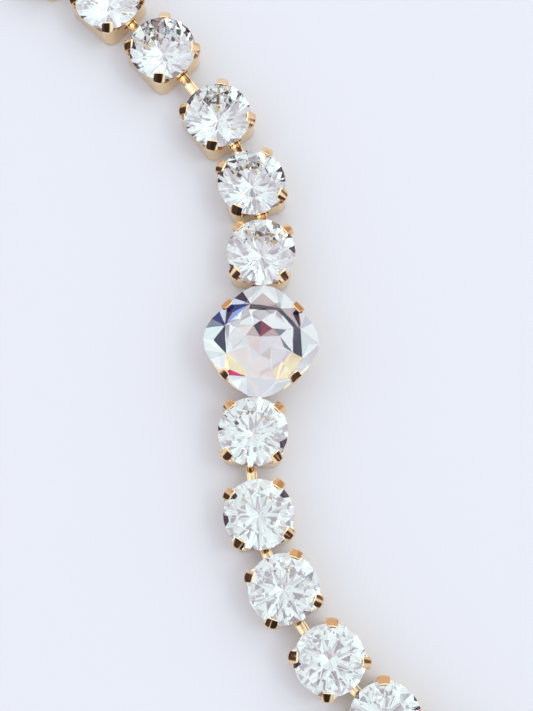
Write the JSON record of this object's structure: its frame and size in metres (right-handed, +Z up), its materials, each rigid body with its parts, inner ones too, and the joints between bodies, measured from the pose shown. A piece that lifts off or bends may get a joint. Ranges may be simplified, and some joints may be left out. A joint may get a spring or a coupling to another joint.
{
  "type": "crystal bracelet",
  "caption": "Cup chain bracelet laid open: foiled round crystals in gold claw cups either side of one larger cushion crystal, flat links, lobster clasp at one end and a ring at the other.",
  "frame": {"origin": "middle of the base of the centre cup, on the surface that the bracelet lies on", "axes": "+Z up through the centre crystal's table; +Y roughly along the strand towards the clasp; +X to the side that the catch ring's end curves to"},
  "size_m": [0.0955, 0.1303, 0.006],
  "materials": {
    "setting": "bright gold plating on stamped brass",
    "fittings": "bright gold plating on brass",
    "crystal": "clear faceted glass with a silver foil back"
  },
  "bodies": {
    "root": {"setting_centre": "setting", "crystal_centre": "crystal", "setting_left_1": "setting", "crystal_left_1": "crystal", "link_left_1": "fittings", "setting_left_2": "setting", "crystal_left_2": "crystal", "link_left_2": "fittings", "setting_left_3": "setting", "crystal_left_3": "crystal", "link_left_3": "fittings", "setting_left_4": "setting", "crystal_left_4": "crystal", "link_left_4": "fittings", "setting_left_5": "setting", "crystal_left_5": "crystal", "link_left_5": "fittings", "setting_left_6": "setting", "crystal_left_6": "crystal", "link_left_6": "fittings", "setting_left_7": "setting", "crystal_left_7": "crystal", "link_left_7": "fittings", "setting_right_1": "setting", "crystal_right_1": "crystal", "link_right_1": "fittings", "setting_right_2": "setting", "crystal_right_2": "crystal", "link_right_2": "fittings", "setting_right_3": "setting", "crystal_right_3": "crystal", "link_right_3": "fittings", "setting_right_4": "setting", "crystal_right_4": "crystal", "link_right_4": "fittings", "setting_right_5": "setting", "crystal_right_5": "crystal", "link_right_5": "fittings", "setting_right_6": "setting", "crystal_right_6": "crystal", "link_right_6": "fittings", "setting_right_7": "setting", "crystal_right_7": "crystal", "link_right_7": "fittings", "end_link_left": "fittings", "end_link_right": "fittings", "jump_ring": "fittings", "clasp": "fittings", "catch_ring": "fittings"}
  },
  "joints": []
}
